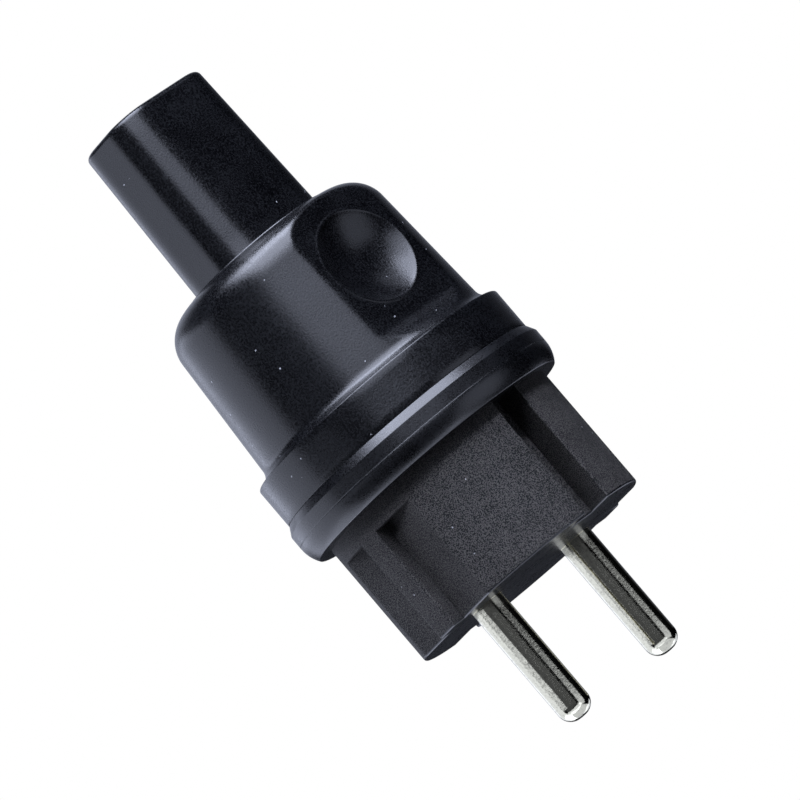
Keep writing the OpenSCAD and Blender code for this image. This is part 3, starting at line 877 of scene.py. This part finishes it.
class PLUG_OT_inner_parts(bpy.types.Operator):
    """Give the wiring parts inside the hood their nylon and steel"""

    bl_idname = "plug.finish_inner_parts"
    bl_label = "Wiring parts"

    def execute(self, context):
        finishes = context.scene.plug_finishes
        nylon, steel = moulded_nylon(finishes), zinc_steel(finishes)
        made_of = {"pin_retainer": nylon, "cord_clamp": nylon,
                   "retainer_screw": steel, "terminal_screws": steel, "clamp_screws": steel}
        for name, material in made_of.items():
            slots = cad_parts[name].data.materials
            slots.clear()
            slots.append(material)
        return {"FINISHED"}


# Soft lights: name, azimuth and elevation seen from the plug with the camera at azimuth 0, in degrees;
# distance, width and height in metres; radiance; whether matt surfaces and whether glossy ones see it
LIGHTS = [
    ("top_softbox", 20, -64, 0.6, 0.66, 0.62, 8.6, True, True),
    ("top_fill", 20, -32, 0.6, 0.6, 0.12, 2.5, False, True),
    ("back_strip", 32, -77, 0.6, 0.5, 0.14, 6.5, True, True),
    ("front_card", 10, -21, 0.9, 0.8, 0.36, 3.1, False, True),
    ("insert_key", 42, -41, 0.6, 0.3, 0.06, 62.0, True, False),
    ("insert_fill", -45, -44, 0.6, 0.3, 0.15, 18.0, True, False),
    ("camera_card", -18, 4, 0.9, 1.6, 0.7, 0.09, True, True),
    ("pin_card", -60, 0.2, 0.6, 0.39, 0.05, 1.35, False, True),
    ("tip_card", -15, 61, 0.0985, 0.14, 0.034, 1.4, False, True),
    ("sky_card", 180, 87, 0.3, 0.5, 0.5, 1.1, False, True),
    ("left_card", -115, 15, 0.6, 0.9, 1.2, 1.45, True, True),
    ("left_fill", -112, 42, 0.6, 0.5, 0.4, 1.2, True, True),
    ("right_card", 59, 20.5, 0.6, 0.45, 0.45, 1.0, True, True),
    ("right_far_card", 150, 38, 0.6, 0.3, 0.4, 1.2, True, True),
    ("right_back_card", 78, -46, 0.6, 0.3, 0.25, 0.9, True, True),
]
# Glow of the room behind the plug: cosines to the view where it starts and is full, and its strengths there
ROOM_GLOW = ((0.5, 0.95), (0.02, 0.8))
# Its fades on the side that the pins point to, which the front face mirrors, and on the right: cosines to
# that direction where they start and end, and the shares left there
UP_FADE, SIDE_FADE = ((-0.06, 0.02), (1.0, 0.04)), ((-0.1, 0.4), (1.0, 0.12))


class PLUG_OT_stage(bpy.types.Operator):
    """Lay the pale floor, hang the soft lights and set the camera"""

    bl_idname = "plug.set_stage"
    bl_label = "Stage"

    # Radius of the bend between floor and wall, and the wall's height, in millimetres
    bend_r, wall_h = 1500, 4000
    # Width of the camera's sensor, in millimetres, and the nearest and farthest that it sees, in metres
    sensor, clip = 36, (0.05, 50)

    def floor(self, s):
        """A round pale floor that curves up into a wall, seen by the camera and not by the plug."""
        piece = start_piece("pale_floor")
        corners = [(0, 0), (s.floor_r, 0, self.bend_r), (s.floor_r, self.wall_h)]
        spin_section(piece, rounded_line(corners, arc_step=self.bend_r / 10), [(360, 96)])
        to_metres(piece)
        bpy.ops.object.shade_smooth()
        material, tree = new_material("pale_floor")
        glow = add(tree, "ShaderNodeEmission", {"Color": (1, 1, 1, 1), "Strength": 1.0})
        add(tree, "ShaderNodeOutputMaterial", {"Surface": glow.outputs[0]})
        piece.data.materials.append(material)
        piece.visible_glossy = piece.visible_diffuse = piece.visible_shadow = False

    def lights(self, tint, aim, front, side, up):
        """Hangs the soft lights round the point that the camera looks at."""
        for name, azimuth, elevation, distance, width, height, radiance, on_matt, on_gloss in LIGHTS:
            az, el = math.radians(azimuth), math.radians(elevation)
            towards = (front * math.cos(az) + side * math.sin(az)) * math.cos(el) + up * math.sin(el)
            bpy.ops.object.light_add(type="AREA")
            lamp = bpy.context.active_object
            lamp.name = name
            lamp.data.shape, lamp.data.size, lamp.data.size_y = "RECTANGLE", width, height
            lamp.data.energy = radiance * math.pi * width * height
            lamp.data.color = tint
            lamp.visible_camera, lamp.visible_diffuse, lamp.visible_glossy = False, on_matt, on_gloss
            turned = towards.to_track_quat("Z", "Y").to_matrix().to_4x4()
            lamp.matrix_world = Matrix.Translation(aim + towards * distance) @ turned

    def room(self, scene, tint, front, side, up):
        """Gives the room behind the plug its glow."""
        scene.world = bpy.data.worlds.new("studio")
        scene.world.use_nodes = True
        tree = scene.world.node_tree
        tree.nodes.clear()
        direction = add(tree, "ShaderNodeTexCoord").outputs["Generated"]

        def towards(axis, ranges, **settings):
            reach = add(tree, "ShaderNodeVectorMath", {0: direction, 1: axis}, operation="DOT_PRODUCT")
            return spread(tree, reach.outputs["Value"], *ranges, **settings)

        strength = towards(-front, ROOM_GLOW, interpolation_type="SMOOTHSTEP")
        for axis, fade in ((up, UP_FADE), (side, SIDE_FADE)):
            strength = maths(tree, "MULTIPLY", strength, towards(axis, fade))
        light = add(tree, "ShaderNodeBackground", {"Color": rgba(tint), "Strength": strength})
        add(tree, "ShaderNodeOutputWorld", {"Surface": light.outputs[0]})

    def camera(self, settings, aim, front, side, up):
        """Sets the camera, turned about its own axis so that the plug lies across the picture."""
        e, roll = settings.elevation, settings.roll
        back = front * math.cos(e) + up * math.sin(e)
        along = (up - back * math.sin(e)).normalized()
        right = side * math.sin(roll) + along * math.cos(roll)
        top = side * math.cos(roll) - along * math.sin(roll)
        bpy.ops.object.camera_add()
        camera = bpy.context.active_object
        camera.name = "studio_camera"
        turned = Matrix((right, top, back)).transposed().to_4x4()
        camera.matrix_world = Matrix.Translation(aim + back * settings.distance) @ turned
        camera.data.sensor_width = self.sensor
        camera.data.lens = self.sensor * settings.distance / settings.view_width
        camera.data.clip_start, camera.data.clip_end = self.clip
        return camera

    def execute(self, context):
        settings, scene = context.scene.plug_stage, context.scene
        a = settings.azimuth
        front = Vector((math.sin(a), -math.cos(a), 0))
        side = Vector((math.cos(a), math.sin(a), 0)) * -1
        up = Vector((0, 0, 1))
        centre = up * settings.aim_height
        self.floor(in_mm(settings))
        self.lights(settings.daylight, centre, front, side, up)
        self.room(scene, settings.daylight, front, side, up)
        scene.camera = self.camera(settings, centre + side * settings.aim_side, front, side, up)
        scene.view_settings.view_transform = "Standard"
        return {"FINISHED"}


OPERATORS = [PLUG_OT_hood, PLUG_OT_carrier, PLUG_OT_pins, PLUG_OT_inner_parts, PLUG_OT_stage]
GROUPS = {
    "plug_hood": HoodSizes,
    "plug_carrier": CarrierSizes,
    "plug_pins": PinSizes,
    "plug_finishes": Finishes,
    "plug_stage": StageSettings,
}


class PLUG_PT_parts(bpy.types.Panel):
    """The plug's parts, sizes and finishes"""

    bl_idname = "PLUG_PT_parts"
    bl_label = "Two-pin power plug"
    bl_space_type = "VIEW_3D"
    bl_region_type = "UI"
    bl_category = "Power plug"

    def draw(self, context):
        for operator in OPERATORS:
            self.layout.operator(operator.bl_idname)
        for group, kind in GROUPS.items():
            box = self.layout.box()
            for name in kind.__annotations__:
                box.prop(getattr(context.scene, group), name)


def register():
    for kind in [*GROUPS.values(), *OPERATORS, PLUG_PT_parts]:
        bpy.utils.register_class(kind)
    for group, kind in GROUPS.items():
        setattr(bpy.types.Scene, group, bpy.props.PointerProperty(type=kind))


def unregister():
    for group in GROUPS:
        delattr(bpy.types.Scene, group)
    for kind in reversed([*GROUPS.values(), *OPERATORS, PLUG_PT_parts]):
        bpy.utils.unregister_class(kind)


def main():
    register()
    bpy.ops.plug.make_hood()
    bpy.ops.plug.make_carrier()
    bpy.ops.plug.make_pins()
    bpy.ops.plug.finish_inner_parts()
    bpy.ops.plug.set_stage()


if __name__ == "__main__":
    main()
